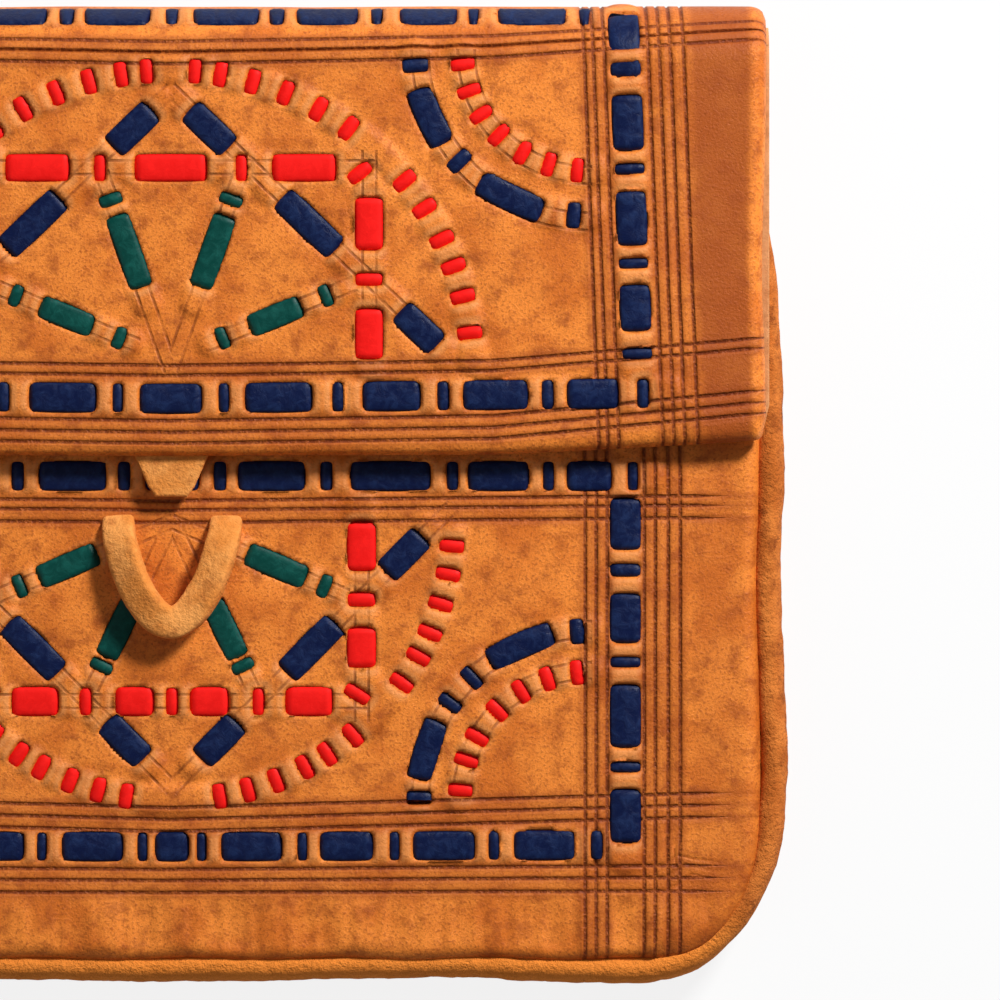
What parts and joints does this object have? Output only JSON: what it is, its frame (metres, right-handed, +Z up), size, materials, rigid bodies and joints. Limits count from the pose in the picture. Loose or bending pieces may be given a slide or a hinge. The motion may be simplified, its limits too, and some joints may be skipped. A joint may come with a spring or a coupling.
{
  "type": "leather coin purse",
  "caption": "Fold-over tan leather coin purse with dyed strips laced through slits in star and border patterns, a welted pocket, a hinged flap and a strap loop.",
  "frame": {"origin": "centre of the box round the closed purse, on the surface that its back lies on", "axes": "+X across the purse, +Y towards the fold, +Z up out of the flap's outer face"},
  "size_m": [0.1234, 0.098, 0.0115],
  "materials": {
    "tan_leather": "polished, worn",
    "lining_leather": "matt",
    "welt_suede": "suede",
    "navy_strip": "satin",
    "red_strip": "satin",
    "green_strip": "satin"
  },
  "bodies": {
    "purse": {"back_panel": "lining_leather", "top_fold": "tan_leather", "edge_welt": "welt_suede", "front_panel": "tan_leather", "front_lining": "lining_leather", "closure_loop": "welt_suede", "pocket_border_near": "navy_strip", "pocket_border_far": "navy_strip", "pocket_border_left": "navy_strip", "pocket_border_right": "navy_strip", "pocket_star_square": "red_strip", "pocket_star_circle": "red_strip", "pocket_star_spoke_1": "green_strip", "pocket_star_spoke_2": "green_strip", "pocket_star_spoke_3": "green_strip", "pocket_star_spoke_4": "green_strip", "pocket_star_diamond_left": "navy_strip", "pocket_star_diamond_right": "navy_strip", "pocket_corner_blue_left": "navy_strip", "pocket_corner_blue_right": "navy_strip", "pocket_corner_red_left": "red_strip", "pocket_corner_red_right": "red_strip"},
    "flap": {"flap_panel": "tan_leather", "flap_lining": "lining_leather", "closure_tongue": "welt_suede", "flap_border_near": "navy_strip", "flap_border_far": "navy_strip", "flap_border_left": "navy_strip", "flap_border_right": "navy_strip", "flap_star_square": "red_strip", "flap_star_circle": "red_strip", "flap_star_spoke_1": "green_strip", "flap_star_spoke_2": "green_strip", "flap_star_spoke_3": "green_strip", "flap_star_spoke_4": "green_strip", "flap_star_diamond_left": "navy_strip", "flap_star_diamond_right": "navy_strip", "flap_corner_blue_left": "navy_strip", "flap_corner_blue_right": "navy_strip", "flap_corner_red_left": "red_strip", "flap_corner_red_right": "red_strip"}
  },
  "joints": [
    {"name": "flap", "type": "hinge", "parent": "purse", "child": "flap", "pos_m": [0, 0.05228, 0.00575], "axis": [-1, 0, 0], "range_deg": [0, 180], "deforming": ["top_fold"]}
  ]
}
